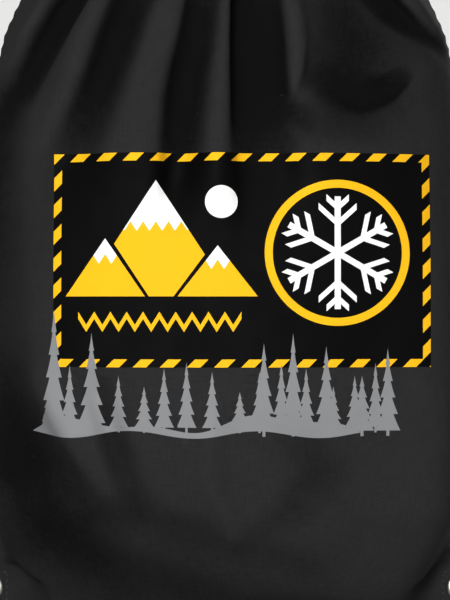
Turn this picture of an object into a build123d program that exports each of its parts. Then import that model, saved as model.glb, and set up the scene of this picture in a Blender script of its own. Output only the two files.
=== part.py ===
from build123d import *

# A drawstring bag of cotton twill: two panels of cloth sewn into a sack that is filled out
# and stands on its base. Uneven folds fan out over its shoulders from the gathered neck,
# which ends in a pleated hem channel for a drawcord. At each lower corner the two layers lie
# flat on each other as an ear, with a metal eyelet. A printed film lies on the front.
#
# Frame: +Z up, +X to the right of someone who faces the front, and the front faces -Y.
# The origin is on the floor, under the middle of the sack. Sizes are in millimetres.
import os
from math import cos, pi, radians, sin, sqrt

# Cloth
cloth = 1.5  # one layer of twill with its slack

# Sack: half widths along X, half depths along Y
base_half_width = 92.0
base_half_depth = 50.0
belly_half_width = 141.0
belly_half_depth = 79.0
belly_height = 120.0
neck_half_width = 41.0
neck_half_depth = 30.0
neck_height = 393.0
squareness = 2.3  # exponent of the outline seen from above, where 2 is an ellipse

# Folds of the shoulder and pleats of the neck, measured from the inmost to the outmost line
shoulder_fold = 11.0
neck_pleat = 7.0

# Hem channel
hem_height = 27.0
hem_flare = 9.0  # how far the hem's top edge stands out past the neck
tunnel_gap = 3.0  # slack between the channel's two layers, where a cord runs
stitched_strip = 4.0  # height of the hem below its channel, where its layers are sewn together
cord_exit = 8.0  # gap between the front hem and the back hem, at each side seam

# Ears at the lower corners
ear_overhang = 8.0  # how far the ear's tip stands out past the belly
ear_rise = 56.0  # height at which the ear's upper edge meets the side of the sack's base
ear_tip_rise = 13.0  # height of the blunt tip
ear_tip_radius = 5.0
ear_floor_gap = 1.0  # the ear's lower edge is this far above the floor

# Eyelets
eyelet_inset_x = 14.0  # from the ear's tip
eyelet_inset_z = 14.0  # from the ear's lower edge
bore_radius = 4.0
barrel_wall = 0.6
flange_radius = 7.6
flange_height = 1.2
flange_edge = 0.4  # height of the flange at its rim
flange_crown_radius = 6.2  # where the flange starts to fall off to its rim
washer_thickness = 0.6
curl_height = 0.6  # the barrel's rolled end, over the washer
curl_radius = 5.8
lip_bevel = 0.4  # at both ends of the bore and round the rolled end
eyelet_clearance = 0.1  # around the barrel, in the washer and in the cloth

# Printed film on the front
film = 0.3
film_left = -95.0
film_right = 114.0
film_bottom = 143.0
film_top = 261.0
film_corner = 1.5

# Worked out from the sizes above
hem_top = neck_height + hem_height
hem_wall = 2 * cloth + tunnel_gap
ear_reach = belly_half_width + ear_overhang
eyelet_x = ear_reach - eyelet_inset_x
eyelet_z = ear_floor_gap + eyelet_inset_z
barrel_radius = bore_radius + barrel_wall
cloth_hole_radius = barrel_radius + eyelet_clearance

# Stations of the sack from the base out to the belly, a quarter ellipse: degrees along it
BASE_TURNS = (0, 20, 40, 62)

# Stations from the belly in to the neck. Columns: share of the way up to the neck, share of
# the belly's width that is left beyond the neck's, share of the folds' depth, share of the
# way from the shoulder's uneven folds to the neck's even pleats.
SHOULDER = [
    (0.000, 1.00, 0.00, 0.00),
    (0.290, 0.99, 0.05, 0.00),
    (0.450, 0.97, 0.25, 0.00),
    (0.590, 0.93, 0.60, 0.00),
    (0.700, 0.88, 0.85, 0.00),
    (0.780, 0.82, 0.95, 0.00),
    (0.845, 0.74, 1.00, 0.05),
    (0.895, 0.63, 1.00, 0.25),
    (0.935, 0.48, 1.00, 0.50),
    (0.962, 0.32, 1.00, 0.75),
    (0.982, 0.16, 1.00, 0.92),
    (1.000, 0.00, 1.00, 1.00),
]

# Folds of the shoulder from the left side seam round the front to the right one, in turns
# of inmost and outmost lines. Columns: degrees round the outline, swing out (1) or in (-1).
FOLDS = [
    (180.0, -0.6),
    (204.7, 0.6),
    (219.3, -1.3),
    (234.8, 0.5),
    (245.9, -1.0),
    (254.3, 0.5),
    (264.0, -1.0),
    (270.6, 0.7),
    (277.5, -0.9),
    (286.2, 0.7),
    (298.8, -0.3),
    (308.3, 0.3),
    (317.8, -1.2),
    (331.0, 0.5),
    (360.0, -0.6),
]

# Where the short lines that round a fold's flank end, as shares of the flank
FLANK_STOPS = (0.25, 0.75, 1.0)


def base_station(turn, inset):
    """(height, half width, half depth, depth of the folds, evenness) of a station below the
    belly, moved in by inset."""
    along, off = sin(radians(turn)), cos(radians(turn))
    height = inset + (belly_height - inset) * (1 - off)
    half_width = base_half_width + (belly_half_width - inset - base_half_width) * along
    half_depth = base_half_depth + (belly_half_depth - inset - base_half_depth) * along
    return height, half_width, half_depth, 0.0, 0.0


def shoulder_station(up, width, depth, evenness, inset):
    """(height, half width, half depth, depth of the folds, evenness) of a station from the
    belly up, moved in by inset."""
    height = belly_height + (neck_height - inset - belly_height) * up
    half_width = neck_half_width - inset + (belly_half_width - neck_half_width) * width
    half_depth = neck_half_depth - inset + (belly_half_depth - neck_half_depth) * width
    fold = shoulder_fold + (neck_pleat - shoulder_fold) * evenness
    return height, half_width, half_depth, fold * depth, evenness


def outline_point(half_width, half_depth, turn, out):
    """A point of the front outline seen from above, moved outwards by out.

    turn is in degrees, from 180 at the left side seam to 360 at the right one.
    """
    across, along = cos(radians(turn)), sin(radians(turn))
    power = 2 / squareness
    x = half_width * abs(across) ** power * (1 if across >= 0 else -1)
    y = -half_depth * abs(along) ** power
    reach = sqrt(x * x + y * y)
    return x * (1 + out / reach), y * (1 + out / reach)


def fold_lines(evenness):
    """(degrees round the outline, swing) of every line of the front's folds or pleats."""
    extremes = []
    for i, (turn, swing) in enumerate(FOLDS):
        even_turn = 180 + 180 * i / (len(FOLDS) - 1)
        even_swing = 1.0 if i % 2 else -1.0
        extremes.append((
            turn + (even_turn - turn) * evenness,
            swing + (even_swing - swing) * evenness,
        ))
    lines = extremes[:1]
    for (turn_a, swing_a), (turn_b, swing_b) in zip(extremes, extremes[1:]):
        for stop in FLANK_STOPS:
            eased = (1 - cos(pi * stop)) / 2
            lines.append((turn_a + (turn_b - turn_a) * stop, swing_a + (swing_b - swing_a) * eased))
    return lines


def front_ring(height, half_width, half_depth, fold, evenness):
    """Points of the front half of a section, in and out through the folds from seam to seam."""
    lines = fold_lines(evenness)
    points = [outline_point(half_width, half_depth, turn, swing * fold / 2) for turn, swing in lines]
    points[0] = (points[0][0], 0.0)
    points[-1] = (points[-1][0], 0.0)
    return [Vector(x, y, height) for x, y in points]


def faceted_form(rings):
    """The front half of a solid with flat facets from ring to ring, closed along Y = 0."""
    facets = []
    for low, high in zip(rings, rings[1:]):
        for a, b, c, d in zip(low, low[1:], high[1:], high):
            facets.append(Face(Wire.make_polygon([a, b, c])))
            facets.append(Face(Wire.make_polygon([a, c, d])))
    middle = [ring[0] for ring in rings] + [ring[-1] for ring in reversed(rings)]
    facets += [Face(Wire.make_polygon(outline)) for outline in (rings[0], rings[-1], middle)]
    return Solid(Shell(facets))


def sack_form(inset):
    """The front half of the filled sack as a solid, moved inwards by inset."""
    stations = [base_station(turn, inset) for turn in BASE_TURNS]
    stations += [shoulder_station(*station, inset) for station in SHOULDER]
    return faceted_form([front_ring(*station) for station in stations])


def hem_form(low, high, inset):
    """The front half of the hem as a solid between two heights, moved inwards by inset.

    It widens evenly from the neck, so that its sides are flat between its lines.
    """
    rings = []
    for height in (low, high):
        wider = 1 + hem_flare / neck_half_width * (height - neck_height) / hem_height
        half_width, half_depth = neck_half_width - inset, neck_half_depth - inset
        rings.append(front_ring(height, half_width * wider, half_depth * wider, neck_pleat * wider, 1.0))
    return faceted_form(rings)


# Outside of the sack's front half, which the panel, the ears and the film follow
outside = sack_form(0.0)

# The front panel: a wall that is open at the neck
with BuildPart() as front_panel:
    add(outside)
    add(sack_form(cloth), mode=Mode.SUBTRACT)
    mouth = shoulder_station(*SHOULDER[-1], 2 * cloth)[1:]
    heights = (neck_height - 3 * cloth, neck_height + cloth)
    add(faceted_form([front_ring(height, *mouth) for height in heights]), mode=Mode.SUBTRACT)
front_panel.part.label = "front_panel"

# The back panel is the front panel's twin, turned round
with BuildPart() as back_panel:
    add(front_panel.part.rotate(Axis.Z, 180))
back_panel.part.label = "back_panel"


def ear(side):
    """The flat corner at one side, both layers of cloth with the eyelet's hole through them."""
    with BuildPart() as piece:
        with BuildSketch(Plane.XZ):
            with BuildLine():
                Polyline(
                    (side * base_half_width, ear_floor_gap),
                    (side * ear_reach, ear_floor_gap),
                    (side * ear_reach, ear_floor_gap + ear_tip_rise),
                    (side * base_half_width, ear_rise),
                    close=True,
                )
            tips = make_face().vertices().group_by(Axis.X)[-1 if side > 0 else 0]
            fillet(tips, radius=ear_tip_radius)
            with Locations((side * eyelet_x, eyelet_z)):
                Circle(cloth_hole_radius, mode=Mode.SUBTRACT)
        extrude(amount=cloth, both=True)
        add(outside, mode=Mode.SUBTRACT)
        add(outside.rotate(Axis.Z, 180), mode=Mode.SUBTRACT)
    return piece


# The front hem: the panel's edge folded over and sewn down, with the channel left inside
with BuildPart() as hem_front:
    add(hem_form(neck_height, hem_top, 0.0))
    add(hem_form(neck_height, hem_top, hem_wall), mode=Mode.SUBTRACT)
    channel_floor, channel_top = neck_height + stitched_strip, hem_top - cloth
    with BuildPart(mode=Mode.PRIVATE) as channel:
        add(hem_form(channel_floor, channel_top, cloth))
        add(hem_form(channel_floor, channel_top, cloth + tunnel_gap), mode=Mode.SUBTRACT)
    add(channel.part, mode=Mode.SUBTRACT)
    with BuildSketch(Plane.XY.offset(neck_height)):
        Rectangle(4 * neck_half_width, cord_exit)
    extrude(amount=hem_height, mode=Mode.SUBTRACT)
hem_front.part.label = "hem_front"

with BuildPart() as hem_back:
    add(hem_front.part.rotate(Axis.Z, 180))
hem_back.part.label = "hem_back"


def eyelet(side):
    """The eyelet's front piece: a flange, a barrel through both layers and a rolled end."""
    x = side * eyelet_x
    front_face = -cloth - flange_height
    back_face = cloth + washer_thickness + curl_height
    plane = Plane(origin=(x, 0, eyelet_z), x_dir=(1, 0, 0), z_dir=(0, 0, 1))
    with BuildPart() as piece:
        with BuildSketch(plane):
            with BuildLine():
                Polyline(
                    (bore_radius, back_face - lip_bevel),
                    (bore_radius, front_face + lip_bevel),
                    (bore_radius + lip_bevel, front_face),
                    (flange_crown_radius, front_face),
                    (flange_radius, -cloth - flange_edge),
                    (flange_radius, -cloth),
                    (barrel_radius, -cloth),
                    (barrel_radius, cloth + washer_thickness),
                    (curl_radius, cloth + washer_thickness),
                    (curl_radius, back_face - lip_bevel),
                    (curl_radius - lip_bevel, back_face),
                    (bore_radius + lip_bevel, back_face),
                    close=True,
                )
            make_face()
        revolve(axis=Axis((x, 0, eyelet_z), (0, 1, 0)))
    return piece


def washer(side):
    """The flat ring behind the cloth, which the barrel's rolled end holds."""
    with BuildPart() as piece:
        with BuildSketch(Plane.XZ.offset(-cloth)):
            with Locations((side * eyelet_x, eyelet_z)):
                Circle(flange_radius)
                Circle(cloth_hole_radius, mode=Mode.SUBTRACT)
        extrude(amount=-washer_thickness)
    return piece


# The printed film, as thick all over, lying on the front panel
with BuildPart() as print_film:
    add(sack_form(-film))
    add(outside, mode=Mode.SUBTRACT)
    with BuildSketch(Plane.XZ):
        with Locations(((film_left + film_right) / 2, (film_bottom + film_top) / 2)):
            RectangleRounded(
                film_right - film_left, film_top - film_bottom, film_corner
            )
    extrude(amount=2 * belly_half_depth, mode=Mode.INTERSECT)
print_film.part.label = "print_film"

pieces = [front_panel, back_panel, hem_front, hem_back, print_film]
for name, side in (("left", -1), ("right", 1)):
    for make, label in ((ear, "ear_"), (eyelet, "eyelet_"), (washer, "washer_")):
        made = make(side)
        made.part.label = label + name
        pieces.append(made)

os.makedirs("parts", exist_ok=True)
for piece in pieces:
    export_step(piece.part, f"parts/{piece.part.label}.step")
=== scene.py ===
from math import cos, hypot, pi, radians, sin

import bmesh
import bpy
import numpy as np
from mathutils import Matrix, Vector, noise


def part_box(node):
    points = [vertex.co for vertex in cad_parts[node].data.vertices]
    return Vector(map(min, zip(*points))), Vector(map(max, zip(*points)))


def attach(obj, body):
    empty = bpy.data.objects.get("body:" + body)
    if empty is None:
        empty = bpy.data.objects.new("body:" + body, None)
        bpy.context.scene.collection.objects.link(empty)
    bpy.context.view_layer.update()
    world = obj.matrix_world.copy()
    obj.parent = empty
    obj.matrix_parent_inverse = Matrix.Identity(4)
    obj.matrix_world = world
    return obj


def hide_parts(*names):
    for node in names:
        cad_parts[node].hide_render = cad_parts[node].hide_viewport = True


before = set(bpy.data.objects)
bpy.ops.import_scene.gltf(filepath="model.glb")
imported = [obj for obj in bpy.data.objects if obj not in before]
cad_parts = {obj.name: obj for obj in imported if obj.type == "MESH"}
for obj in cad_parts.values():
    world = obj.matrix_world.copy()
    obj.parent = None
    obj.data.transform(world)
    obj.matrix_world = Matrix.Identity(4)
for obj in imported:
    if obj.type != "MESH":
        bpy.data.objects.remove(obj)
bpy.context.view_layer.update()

MM = 0.001

# The sack's sizes, read from the frame
panel_low, panel_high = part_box("front_panel")
_, hem_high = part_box("hem_front")
_, ear_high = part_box("ear_right")
eyelet_low, eyelet_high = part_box("eyelet_right")
film_low, film_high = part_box("print_film")
belly_half_width = panel_high.x
belly_half_depth = -panel_low.y
neck_height = panel_high.z
hem_height = hem_high.z - neck_height
cord_exit = 2 * -hem_high.y
ear_reach = ear_high.x
eyelet_x = (eyelet_low.x + eyelet_high.x) / 2
eyelet_z = (eyelet_low.z + eyelet_high.z) / 2

# The sack's outline seen from above, from the floor up
squareness = 2.3
outline_points = 361
base_half_width = 104 * MM
base_half_depth = 60 * MM
low_ring_height = 62 * MM
low_ring_half_width = 139 * MM
low_ring_half_depth = 75 * MM
belly_height = 120 * MM
neck_half_width = 41 * MM
neck_half_depth = 30 * MM

# Shares of the way from the belly up to the neck, and of the belly's size beyond the neck's
SHOULDER = [
    (0.000, 1.00),
    (0.290, 0.99),
    (0.450, 0.97),
    (0.590, 0.945),
    (0.700, 0.905),
    (0.780, 0.85),
    (0.845, 0.77),
    (0.895, 0.655),
    (0.935, 0.495),
    (0.962, 0.32),
    (0.982, 0.16),
    (1.000, 0.00),
]

# Heights with a rough half width and half depth there, which tell the cloth's way out
ROUGH_OUTLINE = [
    (0, 92 * MM, 50 * MM),
    (belly_height, 137 * MM, 79 * MM),
    (300 * MM, 124 * MM, 72 * MM),
    (neck_height, neck_half_width, neck_half_depth),
]

# The curve from the bottom seam round the base's edge to the low ring: how strongly the edge
# draws it, how much less at the sides, and the side corners that it turns over there
base_curve_steps = 41
base_edge_pull = 2.6
side_pull_loss = 1.4
side_blend = (0.8, 1.0)
side_corner_x = 118 * MM
side_corner_z = 24 * MM
seam_lift = 0.5 * MM

# Flat cloth: width between the side seams, length from the bottom seam to the neck
flat_width = 370 * MM
flat_length = 484 * MM
flat_half_gap = 0.5 * MM
cloth_thickness = 0.7 * MM
columns = 98
rows = 118
weld_distance = 0.001 * MM
tiny_share = 0.0001

# Filling: its frames, and how firmly the cloth is held to its starting shape, from 0 to 1.
# Pairs are shares of the way up, or out to a side seam, between which a hold sets in or ends.
fill_frames = 25
panel_hold = 0.22
panel_hold_up = (0.1, 0.2)
panel_hold_across = (0.8, 0.95)
base_hold = 0.5
base_hold_up = (0.16, 0.26)
seam_hold = 0.93
seam_hold_up = (0.2, 0.3)
seam_hold_across = (0.97, 1.0)
neck_held_from = 0.985
floor_clearance = 0.3 * MM
cloth_clearance = 1 * MM

# Neck pleats
pleats = 13
pleat_depth = 5.5 * MM
pleat_start = (0.87, 0.98)
hem_pleat_growth = 0.25

# Hem channel: the cloth's way up from the neck, over the top edge and down inside.
# Columns: height above the neck and distance inwards from the outer face, in millimetres.
HEM_PROFILE = [
    (0.0, 0.0), (2.0, 0.4), (4.0, 1.0), (6.0, 0.3), (9.0, -0.9), (13.0, -1.5), (17.0, -1.4),
    (21.0, -0.9), (24.4, 0.0), (26.4, 1.3), (27.0, 2.7), (26.4, 4.1), (24.4, 5.1), (21.0, 5.7),
    (17.0, 6.0), (13.0, 5.8), (9.0, 5.0), (6.0, 3.6), (4.0, 2.6), (2.0, 2.5), (-1.0, 2.9),
    (-3.0, 3.3),
]
hem_flare = 9 * MM
HEM_STITCH_ROW = 2
exit_opens = (0.5 * MM, 4 * MM)
exit_reach = 3 * cord_exit

# Folds, in millimetres. Each has how wide its flanks are, left and right of its line, and the
# line's points from the top down with columns x, height, depth and half width. A ridge has a
# negative depth. The back has the shoulder's folds as well, turned round with the panel.
SHOULDER_FOLDS = [
    # far left: a ridge, then the deepest valley, which runs on down the left edge
    (1.0, 1.0, [
        (-90, 372, -1, 6), (-104, 343, -3, 7), (-112, 334, -3, 7), (-118, 322, -2, 8),
        (-126, 308, -1, 8),
    ]),
    (1.0, 1.0, [
        (-60, 378, 6, 5), (-91, 343, 15, 8), (-103, 323, 14, 8), (-116, 301, 13, 9),
        (-124, 290, 12, 10), (-130, 272, 10, 12), (-132, 235, 9, 14), (-130, 180, 7, 15),
        (-126, 130, 6, 14), (-120, 90, 4, 14),
    ]),
    (1.0, 1.0, [
        (-56, 366, -2, 7), (-71, 343, -4, 9), (-79, 323, -4, 9), (-86, 301, -4, 9),
        (-96, 279, -3, 10), (-106, 255, 0, 12),
    ]),
    # second valley, with a steep left flank
    (0.8, 1.3, [
        (-30, 378, 4, 5), (-56, 343, 13, 10), (-63, 323, 13, 10), (-71, 301, 12, 10),
        (-80, 279, 10, 11), (-88, 262, 7, 13), (-97, 235, 3, 16), (-104, 200, 0, 18),
    ]),
    (1.0, 1.0, [
        (-28, 366, -1, 7), (-37, 343, -2, 11), (-43, 318, -2, 11), (-50, 290, -2, 13),
        (-54, 262, -2, 15), (-58, 230, 0, 16),
    ]),
    # left of the middle
    (0.7, 1.2, [
        (-7, 380, 4, 4), (-15, 343, 11, 8), (-18, 323, 12, 9), (-22, 305, 13, 10),
        (-24, 290, 13, 11), (-26, 268, 12, 11), (-28, 245, 8, 11), (-30, 215, 0, 11),
    ]),
    (1.2, 0.7, [
        (2.5, 366, -2, 4), (2.5, 343, -3, 6), (0, 323, -3, 7), (-3, 301, -3, 9),
        (-5, 279, -3, 10), (-5, 250, -2, 11), (-5, 220, 0, 12),
    ]),
    # right of the middle: a steep drop, then a broad hollow
    (0.5, 1.0, [
        (10, 378, 3, 4), (8, 343, 12, 8), (9, 312, 11, 9), (10, 290, 10, 9), (10, 262, 6, 10),
        (12, 230, 2, 13), (10, 200, 0, 14),
    ]),
    (1.3, 0.8, [
        (19, 374, 4, 5), (24, 343, 12, 9), (26, 320, 13, 9), (26, 300, 13, 10), (27, 284, 11, 12),
        (29, 262, 8, 14), (31, 235, 4, 16), (32, 205, 0, 18),
    ]),
    (1.3, 0.7, [
        (30, 368, -2, 5), (38, 343, -5, 8), (41, 323, -6, 8), (40, 308, -6, 7), (38, 297, -4, 5),
        (36, 290, 0, 4),
    ]),
    (1.0, 1.3, [
        (54, 372, 3, 10), (67, 345, 9, 19), (72, 325, 10, 23), (72, 305, 9, 23), (70, 288, 5, 20),
        (68, 266, 0, 20),
    ]),
    # groove at the right shoulder, and the strip of cloth beyond it
    (1.2, 0.8, [
        (68, 374, 4, 5), (96, 345, 11, 5), (107, 336, 12, 4), (121, 326, 10, 4), (130, 317, 5, 5),
        (137, 307, 0, 6),
    ]),
    (1.0, 1.0, [(98, 358, -1, 5), (110, 346, -3, 6), (124, 336, -3, 6), (134, 325, -1, 6)]),
]
FRONT_DENTS = [
    # crescent dent under the right shoulder, which ends in a sharp tip
    (0.7, 1.3, [
        (46, 316, 0, 8), (53, 304, 3, 9), (64, 296, 4, 9), (77, 292, 5, 8), (89, 294, 6, 6),
        (98, 300, 7, 4), (104, 306, 5, 3), (107, 310, 0, 3),
    ]),
    # short crease at the foot of the ridge, and a wide shallow hollow below the dent
    (1.0, 1.0, [(29, 286, 0, 4), (36, 284, 5, 4), (44, 281, 5, 5), (54, 277, 0, 5)]),
    (1.0, 1.0, [(32, 279, 0, 15), (50, 278, 3, 16), (84, 279, 3, 16), (114, 285, 0, 14)]),
    # below the print
    (1.0, 1.0, [
        (-106, 150, 0, 8), (-103, 132, -3, 9), (-88, 105, -4, 10), (-72, 79, -3, 10),
        (-62, 58, 0, 10),
    ]),
    (0.8, 1.2, [
        (-76, 143, 0, 6), (-72, 129, 4, 7), (-62, 100, 6, 7), (-52, 71, 4, 7), (-44, 50, 0, 7),
    ]),
    (1.0, 1.0, [
        (-8, 130, 0, 9), (-8, 118, -3, 10), (-8, 79, -4, 9), (6, 47, -3, 8), (9, 38, 0, 8),
    ]),
    (1.0, 1.0, [
        (22, 118, 0, 8), (46, 100, 3, 12), (55, 84, 4, 13), (40, 62, 4, 11), (18, 48, 1, 8),
    ]),
    # the cloth turns under at the lower left, below a crease, and is full at the lower right
    (1.0, 1.0, [
        (-116, 136, 0, 9), (-96, 94, 4, 10), (-73, 64, 4, 11), (-43, 57, 4, 11), (2, 41, 4, 12),
        (49, 28, 3, 12), (73, 22, 0, 12),
    ]),
    (1.0, 1.0, [
        (-126, 130, 4, 20), (-118, 85, 10, 26), (-102, 50, 11, 26), (-60, 25, 8, 22),
        (-5, 12, 5, 18), (50, 2, 3, 14),
    ]),
    (1.0, 1.0, [
        (112, 250, 0, 26), (120, 200, -6, 26), (122, 120, -8, 28), (120, 60, -8, 26),
        (112, 20, -5, 22),
    ]),
]

# How much of the folds is pressed in before and after the filling, and the shares of a panel's
# half width between which they fade out towards the side seams
fold_seed = 0.7
fold_sharpness = 0.6
form_fade = (0.66, 0.90)

# Painted shade in the base colour of the folds' hollows, and a little painted light on their ridges
full_painted_shade_depth = 9 * MM
painted_shading_limits = (-1.5, 0.05)
painted_shading_fade = (0.86, 0.98)

# Small creases, and the grooves and puckers along the seams. The ears stay smooth.
small_crease = 0.35 * MM
crease_size = 14 * MM
crease_seed = 3.0
seam_groove = 1.3 * MM
seam_width = 2.2 * MM
pucker_pitch = 9 * MM
pucker_depth = 0.7 * MM
pucker_reach = 12 * MM
pucker_start = (0.1, 0.2)
relief_start = (26 * MM, 40 * MM)

# Ears: both layers of cloth lie on each other in a corner, and part further in
ear_half_thickness = 1.3 * MM
ear_edge = 5 * MM
ear_corner = 6 * MM
ear_lift = 1 * MM
ear_parting = (24 * MM, 48 * MM)

# Sewing thread. Its rise is a share of its radius, and its twist is in millimetres.
stitch_length = 2.8 * MM
stitch_gap = 0.7 * MM
thread_radius = 0.32 * MM
thread_rise = 0.4
thread_twist = 0.6
ear_stitch_inset = 3.5 * MM
ear_stitch_square = 20 * MM

# Eyelets. Profiles list (radius, y) in millimetres, from the bore round to the back.
eyelet_hole = 5.0 * MM
EYELET_PROFILE = [
    (4.0, 2.0), (4.0, -2.0), (4.3, -2.5), (5.2, -2.7), (6.4, -2.5), (7.3, -1.95), (7.6, -1.5),
    (7.2, -1.38), (4.6, -1.38), (4.6, 2.12), (5.5, 2.12), (5.8, 2.4), (5.4, 2.66), (4.7, 2.7),
    (4.2, 2.5),
]
WASHER_PROFILE = [(4.9, 1.45), (7.3, 1.45), (7.6, 1.6), (7.6, 1.9), (7.3, 2.08), (4.9, 2.08)]
ring_steps = 48

# Colours, in linear light
black_dye = (0.0225, 0.0222, 0.0225)
lint_grey = (0.05, 0.05, 0.05)
thread_dark = (0.022, 0.022, 0.022)
thread_pale = (0.045, 0.045, 0.045)
nickel_bright = (0.72, 0.70, 0.66)
nickel_dull = (0.50, 0.48, 0.44)
ink_black = (0.0014, 0.0014, 0.0015)
ink_yellow = (0.96, 0.50, 0.012)
ink_white = (0.93, 0.93, 0.92)
ink_grey = (0.235, 0.240, 0.247)

# How much painted shade darkens a hollow, the darkest shade, and where lint and worn flecks set in
painted_crease_shade = 0.66
darkest_shade = 0.15
lint_level = 0.74
worn_level = 0.86

# Twill weave: distance between ribs and between weft yarns, in millimetres, and the ribs' slant
twill_pitch = 0.85
twill_pick = 0.55
twill_slant = 0.8

# The printed area, in millimetres: a field with a striped border, and firs that reach past it
FIELD = (film_low.x / MM, film_high.x / MM, film_low.z / MM, film_high.z / MM)
BORDER = 4.4
STRIPE_PITCH = 14.9
ink_left, ink_right = -115 * MM, film_high.x
ink_bottom, ink_top = 100 * MM, film_high.z
ink_lift = 0.2 * MM
ink_margin = 4 * MM

# Peaks list the apex's x and z, the half width and the snow line
PEAKS = [(-38, 246, 42, 218), (-66, 214, 22, 200), (-4, 210, 22, 197)]
PEAK_FOOT = 182
PEAK_GAP = 2.2
SNOW_TOOTH = 7
SNOW_TOOTH_SLOPE = 1.5

# Moon and badge list their centre and radius, the zigzag its ends, height, pitch and half width
MOON = (-2, 234, 9)
BADGE = (62, 206, 38)
BADGE_LINE = 2.2
ZIGZAG = (-81, 9, 168, 9, 2.0)
ZIGZAG_SLOPE = 1.6

# Snow crystal. Branches list their place on a bar and their length, as shares of its reach.
CRYSTAL_REACH = 31
CRYSTAL_BAR = 0.055
CRYSTAL_BRANCH = 0.06
CRYSTAL_SLOPE = 0.9
CRYSTAL_BRANCHES = [(0.52, 0.34), (0.80, 0.20)]

# A strip of uneven ground, and the firs on it, whose own sizes are shares of their row's. Rows
# list the pitch, foot, tallest fir, half width, shift, left end and right end.
GROUND_MIDDLE = -5
GROUND_REACH = 104
GROUND_TOP = 112
GROUND_FOOT = 106
GROUND_TAPER = 7
FIR_SHORTEST = 0.55
FIR_TIERS = 5
FIR_NOTCH = 0.45
FIR_SCATTER = 0.25
FIR_TRUNK = 0.05
FIRS = [
    (13, 110, 36, 5.5, 0, -104, 91),
    (19, 112, 64, 7.5, 7, -102, -64),
    (17, 108, 54, 7.0, 3, 14, 99),
]

# Studio. Lamps list name, place, size and power.
floor_size = 6.0
floor_colour = (0.72, 0.72, 0.71)
floor_fade = (0.35, 1.1)
background_colour = (0.80, 0.80, 0.79)
sky_strength = 0.12
LAMPS = [
    ("front_lamp", (-0.24, -1.52, 0.42), 0.35, 22),
    ("back_lamp", (0.7, 1.4, 0.9), 0.9, 16),
]
lamp_target = (0, 0, 0.22)


def camera():
    """The photograph's view: level with the middle of the picture, from the front."""
    data = bpy.data.cameras.new("camera")
    data.sensor_fit = "VERTICAL"
    data.sensor_height = 36.0
    data.lens = 170.0
    view = bpy.data.objects.new("camera", data)
    bpy.context.scene.collection.objects.link(view)
    picture_height = 330 * MM
    picture_middle = 180 * MM
    front_roundness = 6 * MM
    front_y = -belly_half_depth + front_roundness
    distance = picture_height * data.lens / data.sensor_height
    view.location = (0, front_y - distance, picture_middle)
    view.rotation_euler = (pi / 2, 0, 0)
    bpy.context.scene.camera = view


def smooth(value, low, high):
    """0 below low, 1 above high, and a smooth step between them."""
    share = np.clip((value - low) / (high - low), 0, 1)
    return share * share * (3 - 2 * share)


def way_along(points):
    """How far along its line each point lies."""
    return np.concatenate([[0], np.cumsum(np.linalg.norm(np.diff(points, axis=0), axis=1))])


def ring_points(share, half_width, half_depth):
    """Points on the front half of an outline, at shares of the way round it."""
    turn = np.linspace(pi, 2 * pi, outline_points)
    across, along = np.cos(turn), np.sin(turn)
    power = 2 / squareness
    x = half_width * np.sign(across) * np.abs(across) ** power
    y = -half_depth * np.abs(along) ** power
    walked = np.concatenate([[0], np.cumsum(np.hypot(np.diff(x), np.diff(y)))])
    walked = walked / walked[-1]
    return np.interp(share, walked, x), np.interp(share, walked, y)


def start_column(side_share):
    """One column of the filled sack's cloth, from the bottom seam up to the neck."""
    across = 2 * side_share - 1
    ring_x, ring_y = ring_points(side_share, low_ring_half_width, low_ring_half_depth)
    base_x, base_y = ring_points(side_share, base_half_width, base_half_depth)
    seam = np.array([across * ear_reach, 0.0, seam_lift])
    corner = np.array([base_x, base_y, 0.0])
    side_corner = np.array([np.sign(across) * side_corner_x, 0.0, side_corner_z])
    to_side = smooth(abs(across), *side_blend)
    corner = corner + (side_corner - corner) * to_side
    ring = np.array([ring_x, ring_y, low_ring_height])
    weight = base_edge_pull - side_pull_loss * to_side
    points = []
    for t in np.linspace(0, 1, base_curve_steps)[:-1]:
        first, middle, last = (1 - t) ** 2, 2 * weight * t * (1 - t), t * t
        points.append((first * seam + middle * corner + last * ring) / (first + middle + last))
    points.append(ring)
    for up, size in SHOULDER:
        half_width = neck_half_width + (belly_half_width - neck_half_width) * size
        half_depth = neck_half_depth + (belly_half_depth - neck_half_depth) * size
        x, y = ring_points(side_share, half_width, half_depth)
        points.append(np.array([x, y, belly_height + (neck_height - belly_height) * up]))
    points = np.array(points)
    walked = way_along(points)
    return points, walked / walked[-1]


def fold_depth(x, z, left, right, points):
    """How deep one fold reaches at (x, z), in millimetres: a smooth trough along its line."""
    points = np.array(points, float)
    best = np.full(x.shape, np.inf)
    depth = np.zeros(x.shape)
    for a, b in zip(points[:-1], points[1:]):
        run = b[:2] - a[:2]
        length = run @ run
        t = np.clip(((x - a[0]) * run[0] + (z - a[1]) * run[1]) / length, 0, 1)
        off_x, off_z = x - a[0] - t * run[0], z - a[1] - t * run[1]
        cross = run[0] * off_z - run[1] * off_x
        width = (a[3] + (b[3] - a[3]) * t) * np.where(cross > 0, right, left)
        away = np.hypot(off_x, off_z) / width
        nearer = away < best
        best = np.where(nearer, away, best)
        depth = np.where(nearer, (a[2] + (b[2] - a[2]) * t) * np.exp(-away * away), depth)
    return depth


def cloth_folds(place, across, side, seam_fade):
    """All the folds of both panels together, in metres, positive towards the inside.

    They fade out towards the side seams, which hold the cloth straight, between the two
    shares of the panel's half width in seam_fade.
    """
    x, z = place[:, 0] / MM, place[:, 2] / MM
    front = sum(fold_depth(x, z, *fold) for fold in SHOULDER_FOLDS + FRONT_DENTS)
    back = sum(fold_depth(-x, z, *fold) for fold in SHOULDER_FOLDS)
    folds = front * np.clip(1 - 2 * side, 0, 1) + back * np.clip(2 * side - 1, 0, 1)
    return MM * folds * (1 - smooth(np.abs(across), *seam_fade))


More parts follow.
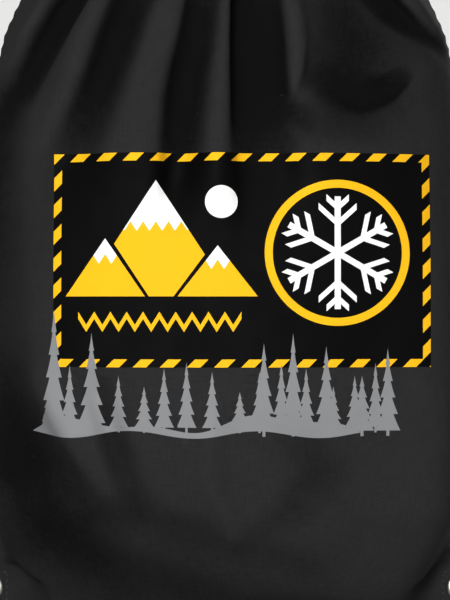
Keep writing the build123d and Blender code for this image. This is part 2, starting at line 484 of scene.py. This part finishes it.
def flat_sack():
    """Both panels as one flat sack of cloth, sewn at the sides and the bottom.

    Every point carries its place on the cloth: across from -1 to 1, along from 0 at the bottom
    seam to 1 at the neck, and side, which is 0 on the front, 1 on the back and 0.5 on a seam.
    """
    bm = bmesh.new()
    hem_rows = len(HEM_PROFILE) - 1
    bmesh.ops.create_grid(bm, x_segments=columns, y_segments=rows + hem_rows, size=1.0)
    uv = bm.loops.layers.uv.new("cloth")
    across = bm.verts.layers.float.new("across")
    along = bm.verts.layers.float.new("along")
    side = bm.verts.layers.float.new("side")
    back = bm.faces.layers.int.new("back")
    hem = bm.faces.layers.int.new("hem")
    for v in bm.verts:
        row = (v.co.y + 1) / 2 * (rows + hem_rows)
        v[across], v[along], v[side] = v.co.x, row / rows, 0.0
        v.co = (v.co.x * flat_width / 2, -flat_half_gap, v[along] * flat_length)
    for face in bm.faces:
        face[hem] = int(face.calc_center_median().z > flat_length)
        for loop in face.loops:
            loop[uv].uv = (loop.vert.co.x, loop.vert.co.z)
    twin = bmesh.ops.duplicate(bm, geom=bm.verts[:] + bm.edges[:] + bm.faces[:])["geom"]
    twin_verts = [g for g in twin if isinstance(g, bmesh.types.BMVert)]
    twin_faces = [g for g in twin if isinstance(g, bmesh.types.BMFace)]
    for v in twin_verts:
        v.co.y = flat_half_gap
        v[side] = 1.0
    bmesh.ops.reverse_faces(bm, faces=twin_faces)
    for face in twin_faces:
        face[back] = 1
    sewn = [
        v for v in bm.verts
        if v[along] < tiny_share
        or abs(v[across]) > 1 - tiny_share and v[along] < 1 + tiny_share
    ]
    for v in sewn:
        v.co.y = 0.0
        v[side] = 0.5
    bmesh.ops.remove_doubles(bm, verts=sewn, dist=weld_distance)
    mesh = bpy.data.meshes.new("sack")
    bm.to_mesh(mesh)
    bm.free()
    return mesh


def attribute(mesh, name):
    """One number for each point of the cloth."""
    values = np.zeros(len(mesh.vertices), np.float32)
    mesh.attributes[name].data.foreach_get("value", values)
    return values.astype(float)


def neck_swing(share, is_back):
    """How far a pleat swings out (1) or in (-1) at this share of the way round a panel.

    Slow waves make the pleats uneven in width and depth, the back's in another way.
    """
    shift = np.where(is_back, 1.9, 0.0)
    middle = np.sin(pi * share)
    uneven = 0.020 * np.sin(4 * pi * share + 0.7 + shift)
    uneven += 0.012 * np.sin(10 * pi * share + 2.1 + shift)
    depth = 1 + 0.28 * np.sin(6 * pi * share + 0.4 + shift) + 0.16 * np.sin(14 * pi * share + 1.3)
    return -np.cos(2 * pi * pleats * (share + middle * uneven)) * (1 + (depth - 1) * middle)


def outwards(x, y, half_width, half_depth):
    """The direction out of the sack, level, at points of an outline."""
    out = np.stack([x / half_width**2, y / half_depth**2, 0 * x], axis=1)
    return out / (np.linalg.norm(out, axis=1)[:, None] + 1e-9)


def hem_place(share, row, is_back):
    """Points of the hem channel, where row counts along its profile."""
    heights, inwards = (np.array(column) * MM for column in zip(*HEM_PROFILE))
    steps = np.arange(len(HEM_PROFILE))
    up, inward = np.interp(row, steps, heights), np.interp(row, steps, inwards)
    flare = hem_flare * up / hem_height
    x, y = ring_points(share, neck_half_width, neck_half_depth)
    out = outwards(x, y, neck_half_width, neck_half_depth)
    swing = pleat_depth * (1 + hem_pleat_growth * up / hem_height) * neck_swing(share, is_back)
    place = np.stack([x, y, neck_height + up], axis=1)
    place += out * (flare + swing - inward)[:, None]
    opening = cord_exit / 2 * smooth(up, *exit_opens)
    near_exit = 1 - smooth(-place[:, 1], 0, exit_reach)
    place[:, 1] -= opening * near_exit
    return place


def rounded_corner(from_side, from_bottom):
    """Both distances from the edges, changed near the corner so that its outline is round."""
    a, b = ear_corner - from_side, ear_corner - from_bottom
    in_corner = (a > 0) & (b > 0)
    shrink = np.where(in_corner, np.maximum(a, b) / (np.hypot(a, b) + 1e-12), 1.0)
    return ear_corner - a * shrink, ear_corner - b * shrink


def firmness(across, along):
    """How firmly the panels, the base, the side seams and the neck are held, from 0 to 1."""
    out = np.abs(across)
    panel = panel_hold * smooth(along, *panel_hold_up) * (1 - smooth(out, *panel_hold_across))
    base = base_hold * (1 - smooth(along, *base_hold_up))
    seam = seam_hold * smooth(out, *seam_hold_across) * smooth(along, *seam_hold_up)
    hold = np.maximum(np.maximum(panel, base), seam)
    hold[along > neck_held_from] = 1.0
    return hold


def start_shape(mesh):
    """Where every point of the cloth starts, and how firmly it is held there."""
    across, along, side = (attribute(mesh, n) for n in ("across", "along", "side"))
    is_front, is_back = side < 0.25, side > 0.75
    place = np.zeros((len(across), 3))
    for value in np.unique(np.round(across, 5)):
        here = np.abs(across - value) < tiny_share
        points, walked = start_column((value + 1) / 2)
        for axis in range(3):
            place[here, axis] = np.interp(along[here], walked, points[:, axis])
    share = (across + 1) / 2
    heights, widths, depths = np.array(ROUGH_OUTLINE).T
    width, depth = (np.interp(place[:, 2], heights, sizes) for sizes in (widths, depths))
    normal = outwards(place[:, 0], place[:, 1], width, depth)
    fade = smooth(along, *pleat_start)
    place += normal * (pleat_depth * fade * neck_swing(share, is_back))[:, None]
    place -= normal * (fold_seed * cloth_folds(place, across, side, form_fade))[:, None]
    hold = firmness(across, along)

    from_side = (1 - np.abs(across)) * flat_width / 2
    from_bottom = along * flat_length
    from_side, from_bottom = rounded_corner(from_side, from_bottom)
    inward = np.maximum(from_side, from_bottom)
    edge = np.minimum(from_side, from_bottom)
    layer = np.where(is_back, -1, np.where(is_front, 1, 0))
    ear = np.stack([
        np.sign(across) * (ear_reach - from_side),
        -layer * ear_half_thickness * smooth(edge, 0, ear_edge),
        ear_lift + from_bottom,
    ], axis=1)
    place[is_back, 1] *= -1
    keep = 1 - smooth(inward, *ear_parting)
    place += (ear - place) * keep[:, None]
    hold[inward < ear_parting[0]] = 1.0
    place[:, 2] = np.maximum(place[:, 2], floor_clearance)

    in_hem = along > 1 + tiny_share
    hem = hem_place(share, (along - 1) * rows, is_back)
    hem[is_back, 1] *= -1
    place[in_hem] = hem[in_hem]
    return place, hold


def new_object(name, data):
    """An object in the scene, at the origin."""
    made = bpy.data.objects.new(name, data)
    bpy.context.scene.collection.objects.link(made)
    return made


def final_mesh(source):
    """What an object's modifiers make of it now, as a mesh of its own."""
    depsgraph = bpy.context.evaluated_depsgraph_get()
    return bpy.data.meshes.new_from_object(
        source.evaluated_get(depsgraph), preserve_all_data_layers=True, depsgraph=depsgraph
    )


def fill_sack(sack, frames):
    """Runs the cloth: the flat sack is blown up from its starting shape by pressure.

    Its neck, its hem and its ears are held firmly, its base, its side seams and its panels
    less firmly.
    """
    mesh = sack.data
    place, hold = start_shape(mesh)
    flat = np.zeros(len(mesh.vertices) * 3, np.float32)
    mesh.vertices.foreach_get("co", flat)
    mesh.vertices.foreach_set("co", place.astype(np.float32).ravel())
    sack.shape_key_add(name="start")
    rest = sack.shape_key_add(name="flat")
    rest.data.foreach_set("co", flat)
    group = sack.vertex_groups.new(name="held")
    for i in np.nonzero(hold)[0]:
        group.add([int(i)], float(hold[i]), "REPLACE")
    cloth = sack.modifiers.new("cloth", "CLOTH")
    settings = cloth.settings
    settings.quality = 6
    settings.mass = 0.0004
    settings.air_damping = 2.0
    settings.tension_stiffness = 25
    settings.compression_stiffness = 12
    settings.shear_stiffness = 6
    settings.bending_stiffness = 0.4
    settings.tension_damping = 8
    settings.compression_damping = 8
    settings.shear_damping = 5
    settings.bending_damping = 0.5
    settings.vertex_group_mass = "held"
    settings.pin_stiffness = 40
    settings.use_pressure = True
    settings.uniform_pressure_force = 5.0
    settings.rest_shape_key = rest
    settings.effector_weights.gravity = 0.0
    cloth.collision_settings.use_collision = True
    cloth.collision_settings.use_self_collision = False
    cloth.collision_settings.distance_min = cloth_clearance
    cloth.point_cache.frame_start = 1
    cloth.point_cache.frame_end = frames
    bpy.ops.mesh.primitive_plane_add(size=2, location=(0, 0, -cloth_clearance))
    ground = bpy.context.object
    ground.modifiers.new("ground", "COLLISION")
    ground.collision.thickness_outer = cloth_clearance
    for number in range(1, frames + 1):
        bpy.context.scene.frame_set(number)
    done = final_mesh(sack)
    bpy.data.objects.remove(ground)
    bpy.data.objects.remove(sack)
    bpy.context.scene.frame_set(1)
    return done


def crumple(places, scale, seed):
    """Soft random values from -1 to 1 over the cloth, one for each point."""
    return np.array([noise.noise(Vector((x, y + seed, z)) * (1 / scale)) for x, y, z in places])


def finished_cloth(mesh):
    """The cloth made finer, with the folds' sharp parts, the seams' grooves, small creases and
    painted fold shading.
    """
    holder = new_object("cloth_shape", mesh)
    finer = holder.modifiers.new("finer", "SUBSURF")
    finer.levels = finer.render_levels = 1
    fine = final_mesh(holder)
    bpy.data.objects.remove(holder)
    count = len(fine.vertices)
    place, normal = np.zeros(count * 3), np.zeros(count * 3)
    fine.vertices.foreach_get("co", place)
    fine.vertex_normals.foreach_get("vector", normal)
    place, normal = place.reshape(-1, 3), normal.reshape(-1, 3)
    across, along, side = (attribute(fine, n) for n in ("across", "along", "side"))
    from_side = (1 - np.abs(across)) * flat_width / 2
    from_bottom = along * flat_length
    from_ear = smooth(np.maximum(from_side, from_bottom), *relief_start)
    on_sack = (along < 1 + tiny_share) * from_ear

    # Painted shading from the folds' depth: painted shade in the hollows, a little painted light on
    # the ridges
    painted_shading = -cloth_folds(place, across, side, painted_shading_fade) / full_painted_shade_depth
    inwards = fold_sharpness * cloth_folds(place, across, side, form_fade)
    groove = seam_groove * np.exp(-((from_side / seam_width) ** 2))
    uneven = 3 * np.sin(from_bottom / (3.1 * pucker_pitch))
    pucker = np.sin(2 * pi * from_bottom / pucker_pitch + uneven)
    pucker *= pucker_depth * np.exp(-from_side / pucker_reach) * smooth(from_side, 0, seam_width)
    inwards += groove + pucker * smooth(along, *pucker_start)
    inwards += seam_groove * np.exp(-((from_bottom / seam_width) ** 2))
    place -= normal * (inwards * on_sack)[:, None]
    creases = small_crease * crumple(place, crease_size, crease_seed)
    place += normal * (creases * on_sack)[:, None]
    fine.vertices.foreach_set("co", place.ravel())
    # Kept on the cloth for the material, which paints this shade into the base colour
    painted_fold_shading = fine.attributes.new("painted_fold_shading", "FLOAT", "POINT")
    painted_fold_shading.data.foreach_set("value", np.clip(painted_shading, *painted_shading_limits).astype(np.float32))
    fine.update()
    return fine


def smooth_piece(bm, name):
    """A smoothly shaded object made of a bmesh, which is freed."""
    for face in bm.faces:
        face.smooth = True
    mesh = bpy.data.meshes.new(name)
    bm.to_mesh(mesh)
    bm.free()
    return new_object(name, mesh)


def cut_piece(mesh, name, back, hem):
    """One panel or one hem, cut out of the finished cloth, with the eyelets' holes."""
    bm = bmesh.new()
    bm.from_mesh(mesh)
    is_back, is_hem = bm.faces.layers.int["back"], bm.faces.layers.int["hem"]
    others = [f for f in bm.faces if f[is_back] != back or f[is_hem] != hem]
    bmesh.ops.delete(bm, geom=others, context="FACES")
    holes = [
        f for f in bm.faces
        if any(hypot(abs(v.co.x) - eyelet_x, v.co.z - eyelet_z) < eyelet_hole for v in f.verts)
    ]
    bmesh.ops.delete(bm, geom=holes, context="FACES")
    return smooth_piece(bm, name)


def past_print(point):
    """How far a point of the cloth lies outside the printed area's box."""
    return max(ink_left - point.x, point.x - ink_right, ink_bottom - point.z, point.z - ink_top)


def print_piece(mesh):
    """The printed area: the front's own surface, cut to the print's size and laid over it."""
    bm = bmesh.new()
    bm.from_mesh(mesh)
    is_back = bm.faces.layers.int["back"]
    outside = [
        f for f in bm.faces
        if f[is_back] or any(past_print(v.co) > ink_margin for v in f.verts)
    ]
    bmesh.ops.delete(bm, geom=outside, context="FACES")
    bm.normal_update()
    for v in bm.verts:
        v.co += v.normal * ink_lift
    low, high = (ink_left, 0, ink_bottom), (ink_right, 0, ink_top)
    for corner, out in ((low, (-1, 0, 0)), (low, (0, 0, -1)), (high, (1, 0, 0)), (high, (0, 0, 1))):
        geom = bm.verts[:] + bm.edges[:] + bm.faces[:]
        bmesh.ops.bisect_plane(bm, geom=geom, plane_co=corner, plane_no=out, clear_outer=True)
    return smooth_piece(bm, "print_ink")


def stitch_row(bm, points, outs):
    """Thread stitches end to end along a line of points, lying on the cloth."""
    points, outs = np.array(points), np.array(outs)
    walked = way_along(points)
    pitch = stitch_length + stitch_gap
    for middle in np.arange(pitch / 2, walked[-1], pitch):
        ends = [
            Vector([np.interp(middle + reach, walked, points[:, axis]) for axis in range(3)])
            for reach in (-stitch_length / 2, stitch_length / 2)
        ]
        out = Vector([np.interp(middle, walked, outs[:, axis]) for axis in range(3)]).normalized()
        run = (ends[1] - ends[0]).normalized()
        out = (out - run * out.dot(run)).normalized()
        turn = Matrix((run, out, run.cross(out))).transposed().to_4x4()
        size = Matrix.Diagonal((stitch_length / 2, thread_radius, thread_radius, 1))
        centre = (ends[0] + ends[1]) / 2 + out * thread_radius * thread_rise
        matrix = Matrix.Translation(centre) @ turn @ size
        bmesh.ops.create_uvsphere(bm, u_segments=6, v_segments=5, radius=1, matrix=matrix)


def hem_stitches(mesh, name, back):
    """The row of stitches that closes the channel, round the pleats of one hem."""
    rows_up = attribute(mesh, "along") * rows - rows
    side, across = attribute(mesh, "side"), attribute(mesh, "across")
    row = np.nonzero((np.abs(rows_up - HEM_STITCH_ROW) < 0.01) & (np.abs(side - back) < 0.25))[0]
    row = row[np.argsort(across[row])]
    points = [mesh.vertices[i].co for i in row]
    outs = [mesh.vertex_normals[i].vector for i in row]
    bm = bmesh.new()
    stitch_row(bm, points, outs)
    return smooth_piece(bm, name)


def ear_stitches(name, side):
    """A square of stitches round the eyelet, on both faces of one ear."""
    bm = bmesh.new()
    near, far = ear_stitch_inset, ear_stitch_inset + ear_stitch_square
    corners = [(near, near), (near, far), (far, far), (far, near), (near, near)]
    for face in (-1, 1):
        for (a, b), (c, d) in zip(corners, corners[1:]):
            line = [
                (side * (ear_reach - a - (c - a) * t), face * ear_half_thickness, b + (d - b) * t)
                for t in (0, 1)
            ]
            stitch_row(bm, line, [(0, face, 0)] * 2)
    return smooth_piece(bm, name)


def spun_ring(name, side, profile):
    """A closed profile of (radius, y) turned round one eyelet's axis."""
    bm = bmesh.new()
    verts = [bm.verts.new((radius * MM, y * MM, 0)) for radius, y in profile]
    edges = [bm.edges.new(pair) for pair in zip(verts, verts[1:] + verts[:1])]
    bmesh.ops.spin(
        bm, geom=verts + edges, cent=(0, 0, 0), axis=(0, 1, 0), angle=2 * pi, steps=ring_steps,
        use_merge=True,
    )
    bmesh.ops.remove_doubles(bm, verts=bm.verts, dist=weld_distance)
    bmesh.ops.recalc_face_normals(bm, faces=bm.faces)
    bmesh.ops.translate(bm, verts=bm.verts, vec=(side * eyelet_x, 0, eyelet_z))
    ring = smooth_piece(bm, name)
    round_off = ring.modifiers.new("round", "SUBSURF")
    round_off.levels = round_off.render_levels = 1
    return ring


class Term:
    """A shader value that can be added, multiplied and compared like a number."""

    def __init__(self, nodes, socket):
        self.nodes, self.socket = nodes, socket

    def math(self, operation, *others):
        """What one Math node makes of this value and the others."""
        values = dict(enumerate((self, *others)))
        return self.nodes.add("ShaderNodeMath", {"operation": operation}, values)

    def __add__(self, other):
        return self.math("ADD", other)

    def __sub__(self, other):
        return self.math("SUBTRACT", other)

    def __rsub__(self, other):
        return (self * -1) + other

    def __mul__(self, other):
        return self.math("MULTIPLY", other)

    def __truediv__(self, other):
        return self.math("DIVIDE", other)

    def __mod__(self, other):
        return self.math("FLOORED_MODULO", other)

    def __abs__(self):
        return self.math("ABSOLUTE")

    def __lt__(self, other):
        return self.math("LESS_THAN", other)

    def __gt__(self, other):
        return self.math("GREATER_THAN", other)

    __radd__ = __add__
    __rmul__ = __mul__

    def sin(self):
        """The sine of this value, in radians."""
        return self.math("SINE")

    def least(self, other):
        """The smaller of two values."""
        return self.math("MINIMUM", other)

    def most(self, other):
        """The larger of two values."""
        return self.math("MAXIMUM", other)


class Nodes:
    """The nodes of a material or of the world."""

    def __init__(self, tree):
        self.tree = tree

    def add(self, kind, settings=None, values=None, output=0):
        """A new node, given as one of its outputs."""
        node = self.tree.nodes.new(kind)
        for setting, value in (settings or {}).items():
            setattr(node, setting, value)
        for socket, value in (values or {}).items():
            self.feed(node.inputs[socket], value)
        return Term(self, node.outputs[output])

    def feed(self, socket, value):
        """Links a shader value to a socket, or sets a number or a colour on it."""
        if isinstance(value, Term):
            self.tree.links.new(value.socket, socket)
        else:
            socket.default_value = value


class Surface(Nodes):
    """A material: its shader and the nodes behind it."""

    def __init__(self, name, **constants):
        self.material = bpy.data.materials.new(name)
        self.material.use_nodes = True
        super().__init__(self.material.node_tree)
        self.shader = self.tree.nodes["Principled BSDF"]
        for socket, value in constants.items():
            self.give(socket.replace("_", " "), value)

    def give(self, socket, value):
        """Feeds one of the shader's own sockets."""
        self.feed(self.shader.inputs[socket], value)

    def mix(self, factor, first, second):
        """The first colour, or the second where the factor is 1."""
        first, second = (c if isinstance(c, Term) else (*c, 1) for c in (first, second))
        values = {0: factor, 6: first, 7: second}
        return self.add("ShaderNodeMix", {"data_type": "RGBA"}, values, output=2)

    def axes(self, coordinates, scale):
        """The three coordinates, each times the scale."""
        values = {0: self.add("ShaderNodeTexCoord", output=coordinates)}
        return [self.add("ShaderNodeSeparateXYZ", None, values, i) * scale for i in range(3)]

    def noise(self, coordinates, scale, detail, stretch=(1, 1, 1)):
        """Cloudy values about 0.5. The scale counts clouds in a metre."""
        point = self.add("ShaderNodeTexCoord", output=coordinates)
        point = self.add("ShaderNodeMapping", values={0: point, 3: stretch})
        return self.add("ShaderNodeTexNoise", values={0: point, "Scale": scale, "Detail": detail})

    def bump(self, height, distance, strength):
        """Fine relief, as high as the distance where the height is 1."""
        values = {"Height": height, "Distance": distance, "Strength": strength}
        self.give("Normal", self.add("ShaderNodeBump", values=values))


def twill():
    """Black cotton twill: slanted ribs, uneven yarns, a little lint, worn dye, and painted shade in
    the folds' hollows.
    """
    cloth = Surface("black_twill", Specular_IOR_Level=0.06)
    u, v, _ = cloth.axes("UV", 1 / MM)
    yarn = cloth.noise("UV", scale=900, detail=1.0, stretch=(1, 0.12, 1)) - 0.5
    weft = cloth.noise("UV", scale=900, detail=1.0, stretch=(0.12, 1, 1)) - 0.5
    ribs = ((u + v * twill_slant + yarn * 0.5) * (2 * pi / twill_pitch)).sin() * 0.5 + 0.5
    picks = (v * (2 * pi / twill_pick)).sin() * 0.5 + 0.5
    height = ribs * 0.75 + picks * 0.25 + yarn * 0.5 + weft * 0.5
    cloth.bump(height, distance=0.12 * MM, strength=0.8)
    wear = cloth.noise("Object", scale=16, detail=3.0)
    # Painted shade: the folds' hollows darken the base colour, and their ridges lighten it a little
    painted_fold_shading = cloth.add("ShaderNodeAttribute", {"attribute_name": "painted_fold_shading"}, output=2)
    shade = 0.86 + ribs * 0.16 + (wear - 0.5) * 0.4 + (yarn + weft) * 0.35 + painted_fold_shading * painted_crease_shade
    values = {0: black_dye, 3: shade.most(darkest_shade)}
    base = cloth.add("ShaderNodeVectorMath", {"operation": "SCALE"}, values)
    lint = cloth.noise("UV", scale=420, detail=2.0) > lint_level
    cloth.give("Base Color", cloth.mix(lint * 0.3, base, lint_grey))
    cloth.give("Roughness", 0.9 + (wear - 0.5) * 0.15)
    return cloth.material


def between(value, low, high):
    """1 from low to high."""
    return abs(value - (low + high) / 2) < (high - low) / 2


def rectangle(x, z, left, right, bottom, top):
    """1 inside a rectangle."""
    return between(x, left, right) * between(z, bottom, top)


def from_centre(x, z, centre_x, centre_z):
    """The distance from a centre."""
    return ((x - centre_x) * (x - centre_x) + (z - centre_z) * (z - centre_z)).math("SQRT")


def triangle(x, z, apex_x, apex_z, base_z, half_width):
    """1 inside an upright triangle."""
    slope = half_width / (apex_z - base_z)
    return (abs(x - apex_x) < (apex_z - z) * slope) * (z > base_z)


def mountains(film, colour, x, z):
    """Peaks with toothed snow caps, each set off from the ones behind it by a dark gap."""
    for apex_x, apex_z, half_width, snow_line in PEAKS:
        gap = triangle(x, z, apex_x, apex_z + 2 * PEAK_GAP, PEAK_FOOT, half_width + PEAK_GAP)
        peak = triangle(x, z, apex_x, apex_z, PEAK_FOOT, half_width)
        tooth = abs((x - apex_x) % SNOW_TOOTH - SNOW_TOOTH / 2) * SNOW_TOOTH_SLOPE
        colour = film.mix(gap, colour, ink_black)
        colour = film.mix(peak, colour, ink_yellow)
        colour = film.mix(peak * (z > tooth + snow_line), colour, ink_white)
    return colour


def zigzag(x, z, left, right, middle, pitch, thickness):
    """1 on a zigzag line that runs across."""
    off = z - middle - (abs(x % pitch - pitch / 2) - pitch / 4) * ZIGZAG_SLOPE
    return (abs(off) < thickness) * between(x, left, right)


def snow_crystal(x, z, centre_x, centre_z, reach):
    """A snow crystal of three crossed bars with short side branches."""
    mask = None
    for degrees in (0, 60, 120):
        c, s = cos(radians(degrees)), sin(radians(degrees))
        along = (x - centre_x) * s + (z - centre_z) * c
        off = (x - centre_x) * c - (z - centre_z) * s
        arms = (abs(off) < reach * CRYSTAL_BAR) * (abs(along) < reach)
        for place, length in CRYSTAL_BRANCHES:
            rise = abs(along) - abs(off) * CRYSTAL_SLOPE - reach * place
            branch = (abs(rise) < reach * CRYSTAL_BRANCH) * (abs(off) < reach * length)
            arms = arms.most(branch)
        mask = arms if mask is None else mask.most(arms)
    return mask


def fir_row(x, z, pitch, foot, tall, wide, shift):
    """A row of firs of uneven heights: one in each stretch of the given pitch."""
    count = (x + shift) / pitch
    number = count.math("FLOOR")
    off = (count - number - 0.5) * pitch
    uneven = abs((number * 2.4 + shift).sin())
    height = tall * (FIR_SHORTEST + uneven * (1 - FIR_SHORTEST))
    share = (z - foot) / height
    teeth = 1 - (share * FIR_TIERS % 1.0) * FIR_NOTCH
    aside = abs(off + (uneven - 0.5) * pitch * FIR_SCATTER)
    crown = aside < (1 - share) * teeth * wide
    trunk = (aside < FIR_TRUNK * pitch) * (z > foot - 3)
    return (crown * (share > 0) * (share < 1)).most(trunk * (share < 0.3))


def forest(x, z):
    """1 on the uneven ground and on the firs."""
    taper = (abs(x - GROUND_MIDDLE) / GROUND_REACH).math("POWER", 4) * GROUND_TAPER
    top = GROUND_TOP + (x / 19).sin() * 4 + (x / 8.3).sin() * 2 - taper
    foot = GROUND_FOOT + (x / 11).sin() * 2
    mask = (z < top) * (z > foot)
    for *sizes, left, right in FIRS:
        mask = mask.most(fir_row(x, z, *sizes) * between(x, left, right))
    return mask


def ink():
    """Screen print on the cloth: a striped border round a winter scene, with firs below it."""
    film = Surface("print_ink", Specular_IOR_Level=0.04)
    x, _, z = film.axes("Object", 1 / MM)
    left, right, bottom, top = FIELD
    field = rectangle(x, z, *FIELD)
    inner = rectangle(x, z, left + BORDER, right - BORDER, bottom + BORDER, top - BORDER)
    stripes = ((x - z) % STRIPE_PITCH) < STRIPE_PITCH / 2
    colour = film.mix((field - inner) * stripes, ink_black, ink_yellow)
    moon_x, moon_z, moon_radius = MOON
    colour = film.mix(from_centre(x, z, moon_x, moon_z) < moon_radius, colour, ink_white)
    colour = mountains(film, colour, x, z)
    colour = film.mix(zigzag(x, z, *ZIGZAG), colour, ink_yellow)
    badge_x, badge_z, badge_radius = BADGE
    ring = abs(from_centre(x, z, badge_x, badge_z) - badge_radius) < BADGE_LINE
    colour = film.mix(ring, colour, ink_yellow)
    crystal = snow_crystal(x, z, badge_x, badge_z, CRYSTAL_REACH)
    colour = film.mix(crystal, colour, ink_white)
    firs = forest(x, z)
    worn = film.noise("Object", scale=1100, detail=3.0)
    patchy = film.noise("Object", scale=55, detail=2.0)
    gone = (worn + (patchy - 0.5) * 0.4) > worn_level
    film.give("Base Color", film.mix(firs, colour, ink_grey))
    film.give("Alpha", field.most(firs) * (1 - gone * 0.7))
    film.give("Roughness", 0.62 + (patchy - 0.5) * 0.2)
    u, v, _ = film.axes("UV", 1 / MM)
    ribs = ((u + v * twill_slant) * (2 * pi / twill_pitch)).sin() * 0.5 + worn * 0.6
    film.bump(ribs, distance=0.05 * MM, strength=0.6)
    return film.material


def nickel():
    """Nickel-plated steel with fine scratches and a little tarnish."""
    metal = Surface("nickel", Metallic=1.0)
    scratches = metal.noise("Object", scale=2600, detail=2.0, stretch=(1, 1, 0.06))
    tarnish = metal.noise("Object", scale=240, detail=3.0)
    metal.give("Base Color", metal.mix(tarnish * 0.7, nickel_bright, nickel_dull))
    metal.give("Roughness", 0.18 + tarnish * 0.2 + scratches * 0.08)
    metal.bump(scratches, distance=0.02 * MM, strength=0.5)
    return metal.material


def thread():
    """Black polyester thread, twisted, a little glossier than the cloth."""
    spun = Surface("sewing_thread", Specular_IOR_Level=0.4)
    x, y, z = spun.axes("Object", 1 / MM)
    twist = ((x + z * 1.3 + y * 0.7) * (2 * pi / thread_twist)).sin() * 0.5 + 0.5
    fuzz = spun.noise("Object", scale=1500, detail=2.0)
    spun.give("Base Color", spun.mix(twist * 0.6, thread_dark, thread_pale))
    spun.give("Roughness", 0.5 + fuzz * 0.2)
    spun.bump(twist, distance=0.06 * MM, strength=0.7)
    return spun.material


def pale_floor():
    """The floor, which keeps the bag's shadow and fades into the background further out."""
    bm = bmesh.new()
    bmesh.ops.create_grid(bm, x_segments=1, y_segments=1, size=floor_size / 2)
    floor = smooth_piece(bm, "floor")
    ground = Surface("pale_floor", Roughness=0.9, Specular_IOR_Level=0.2)
    ground.give("Base Color", (*floor_colour, 1))
    point = ground.add("ShaderNodeTexCoord", output="Object")
    away = ground.add("ShaderNodeVectorMath", {"operation": "LENGTH"}, {0: point}, "Value")
    near, far = floor_fade
    faded = ((away - near) / (far - near)).most(0).least(1)
    camera_ray = ground.add("ShaderNodeLightPath", output="Is Camera Ray")
    glow = ground.add("ShaderNodeEmission", values={"Color": (*background_colour, 1)})
    lit = Term(ground, ground.shader.outputs[0])
    both = ground.add("ShaderNodeMixShader", values={0: faded * camera_ray, 1: lit, 2: glow})
    ground.feed(ground.tree.nodes["Material Output"].inputs["Surface"], both)
    floor.data.materials.append(ground.material)


def pale_sky():
    """An even white sky, which the camera and the metal see as the pale background."""
    world = bpy.data.worlds.new("studio")
    bpy.context.scene.world = world
    world.use_nodes = True
    sky = Nodes(world.node_tree)
    even = sky.tree.nodes["Background"]
    sky.feed(even.inputs["Color"], (1, 1, 1, 1))
    sky.feed(even.inputs["Strength"], sky_strength)
    light = Term(sky, even.outputs[0])
    seen = sky.add("ShaderNodeBackground", values={"Color": (*background_colour, 1)})
    camera_ray = sky.add("ShaderNodeLightPath", output="Is Camera Ray")
    glossy_ray = sky.add("ShaderNodeLightPath", output="Is Glossy Ray")
    values = {0: camera_ray.most(glossy_ray), 1: light, 2: seen}
    chosen = sky.add("ShaderNodeMixShader", values=values)
    sky.feed(sky.tree.nodes["World Output"].inputs["Surface"], chosen)


def studio():
    """A pale floor, a pale background, an even sky and two soft lamps."""
    bpy.context.scene.view_settings.view_transform = "Standard"
    pale_floor()
    pale_sky()
    for name, place, size, power in LAMPS:
        data = bpy.data.lights.new(name, "AREA")
        data.size = size
        data.energy = power
        lamp = new_object(name, data)
        lamp.location = place
        to_bag = Vector(lamp_target) - lamp.location
        lamp.rotation_euler = to_bag.to_track_quat("-Z", "Y").to_euler()


def dress(piece, material, replaced=(), thickness=0.0):
    """The last steps of every piece: its wall, material, body and the nodes it stands for."""
    if thickness:
        wall = piece.modifiers.new("thickness", "SOLIDIFY")
        wall.thickness = thickness
        wall.offset = -1
    piece.data.materials.clear()
    piece.data.materials.append(material)
    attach(piece, "root")
    if replaced:
        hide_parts(*replaced)


camera()
sack = new_object("sack", flat_sack())
cloth_mesh = finished_cloth(fill_sack(sack, fill_frames))
black_cloth, sewing, metal = twill(), thread(), nickel()
for back, face in ((0, "front"), (1, "back")):
    ears = ("ear_left", "ear_right") if face == "front" else ()
    panel = cut_piece(cloth_mesh, f"bag_{face}", back, 0)
    dress(panel, black_cloth, (f"{face}_panel", *ears), cloth_thickness)
    channel = cut_piece(cloth_mesh, f"hem_channel_{face}", back, 1)
    dress(channel, black_cloth, (f"hem_{face}",), cloth_thickness)
    dress(hem_stitches(cloth_mesh, f"hem_stitches_{face}", back), sewing)
dress(print_piece(cloth_mesh), ink(), ("print_film",))
for side, name in ((-1, "left"), (1, "right")):
    dress(ear_stitches(f"ear_stitches_{name}", side), sewing)
    flange = spun_ring(f"eyelet_flange_{name}", side, EYELET_PROFILE)
    dress(flange, metal, (f"eyelet_{name}",))
    plate = spun_ring(f"washer_plate_{name}", side, WASHER_PROFILE)
    dress(plate, metal, (f"washer_{name}",))
studio()
